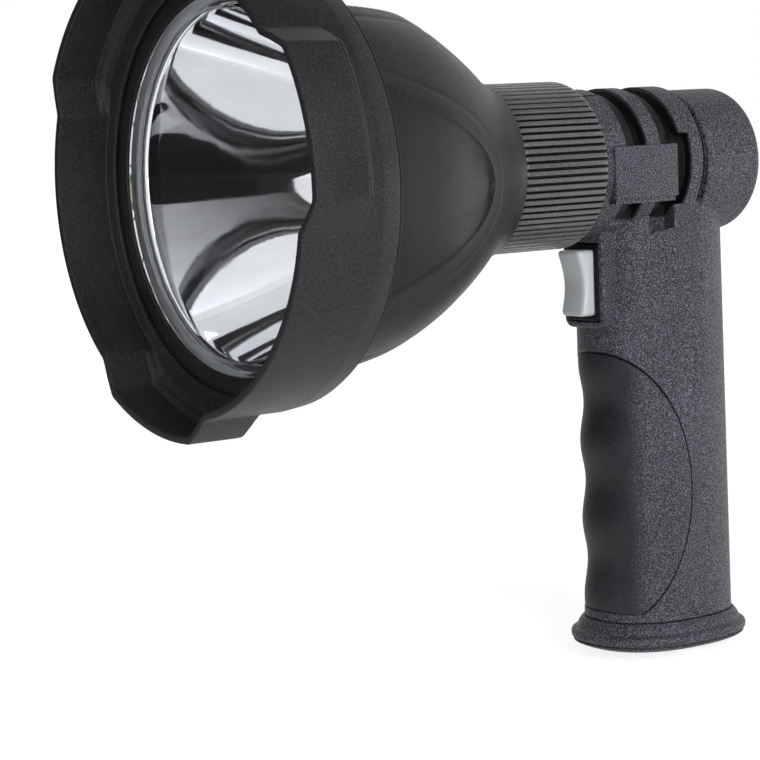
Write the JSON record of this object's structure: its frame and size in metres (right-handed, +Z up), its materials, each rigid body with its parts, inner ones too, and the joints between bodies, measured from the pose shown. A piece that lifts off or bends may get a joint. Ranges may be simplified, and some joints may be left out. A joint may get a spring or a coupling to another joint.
{
  "type": "rechargeable flashlight",
  "caption": "Pistol-grip rechargeable spotlight with lobed bezel, deep reflector, knurled focus ring, trigger switch and tripod base.",
  "frame": {"origin": "middle of the base's flat underside, under the middle of the grip", "axes": "+Z up along the grip, the beam leaves along -Y, +X is the holder's left side"},
  "size_m": [0.1258, 0.1906, 0.205],
  "materials": {
    "bezel_plastic": "fine-textured dark plastic",
    "bowl_plastic": "satin dark plastic",
    "ring_plastic": "satin dark plastic",
    "housing_plastic": "coarse-textured black plastic",
    "grip_rubber": "matte textured rubber",
    "trigger_plastic": "pale translucent plastic",
    "clear_lens": "clear, polished",
    "reflector_mirror": "polished metallised plastic",
    "seal_rubber": "matte",
    "aluminium": "machined",
    "steel": "plated",
    "brass": "machined",
    "board": "solder resist",
    "led_phosphor": "clear dome over phosphor",
    "inner_plastic": "moulded",
    "cell_sleeve": "shrink sleeve over a metal can",
    "contact_metal": "nickel plated",
    "red_wire": "insulation",
    "black_wire": "insulation"
  },
  "bodies": {
    "lamp": {"bezel_shroud": "bezel_plastic", "lens": "clear_lens", "lens_retainer": "bezel_plastic", "lens_gasket": "seal_rubber", "reflector": "reflector_mirror", "head_bowl": "bowl_plastic", "neck_tube": "aluminium", "neck_nut": "aluminium", "seal_front": "seal_rubber", "seal_rear": "seal_rubber", "housing_left": "housing_plastic", "housing_right": "housing_plastic", "finger_grip": "grip_rubber", "trigger_frame": "seal_rubber", "trigger_spring": "steel", "switch_body": "inner_plastic", "driver_board": "board", "driver_inductor": "inner_plastic", "driver_capacitor": "contact_metal", "battery_cell_front": "cell_sleeve", "battery_cell_rear": "cell_sleeve", "battery_holder": "inner_plastic", "contact_front": "contact_metal", "contact_rear": "contact_metal", "contact_bridge": "contact_metal", "battery_wire_red": "red_wire", "battery_wire_black": "black_wire", "tail_plate": "inner_plastic", "charge_socket": "contact_metal", "charge_board": "board", "indicator_light": "clear_lens", "charge_cover_pin": "steel", "base_plate": "housing_plastic", "tripod_insert": "brass", "housing_screw_1": "steel", "housing_screw_2": "steel", "housing_screw_3": "steel", "housing_screw_4": "steel", "housing_screw_5": "steel", "base_screw_left": "steel", "base_screw_right": "steel"},
    "focus_ring": {"focus_ring": "ring_plastic"},
    "carrier": {"led_carrier": "aluminium", "cam_pin_top": "steel", "cam_pin_bottom": "steel", "led_board": "board", "led_emitter": "led_phosphor", "led_lead_red": "red_wire", "led_lead_black": "black_wire"},
    "trigger": {"trigger": "trigger_plastic"},
    "switch_button": {"switch_button": "inner_plastic"},
    "charge_cover": {"charge_cover": "seal_rubber"}
  },
  "joints": [
    {"name": "focus_turn", "type": "hinge", "parent": "lamp", "child": "focus_ring", "pos_m": [0, -0.0493, 0.142], "axis": [0, 1, 0], "range_deg": [0, 120]},
    {"name": "focus_slide", "type": "slide", "parent": "lamp", "child": "carrier", "axis": [0, 1, 0], "range_m": [0, 0.006]},
    {"name": "trigger_press", "type": "slide", "parent": "lamp", "child": "trigger", "axis": [0, 1, 0], "range_m": [0, 0.0025], "stiffness_N_per_m": 900, "springref_m": -0.002, "deforming": ["trigger_spring"]},
    {"name": "switch_press", "type": "slide", "parent": "lamp", "child": "switch_button", "axis": [0, 1, 0], "range_m": [0, 0.0025]},
    {"name": "cover_swing", "type": "hinge", "parent": "lamp", "child": "charge_cover", "pos_m": [0, 0.0261, 0.1314], "axis": [1, 0, 0], "range_deg": [-125, 0]}
  ],
  "couplings": [
    {"joint": "focus_slide", "follows": "focus_turn", "m_per_rad": 0.0028648},
    {"joint": "switch_press", "follows": "trigger_press", "ratio": 1}
  ]
}
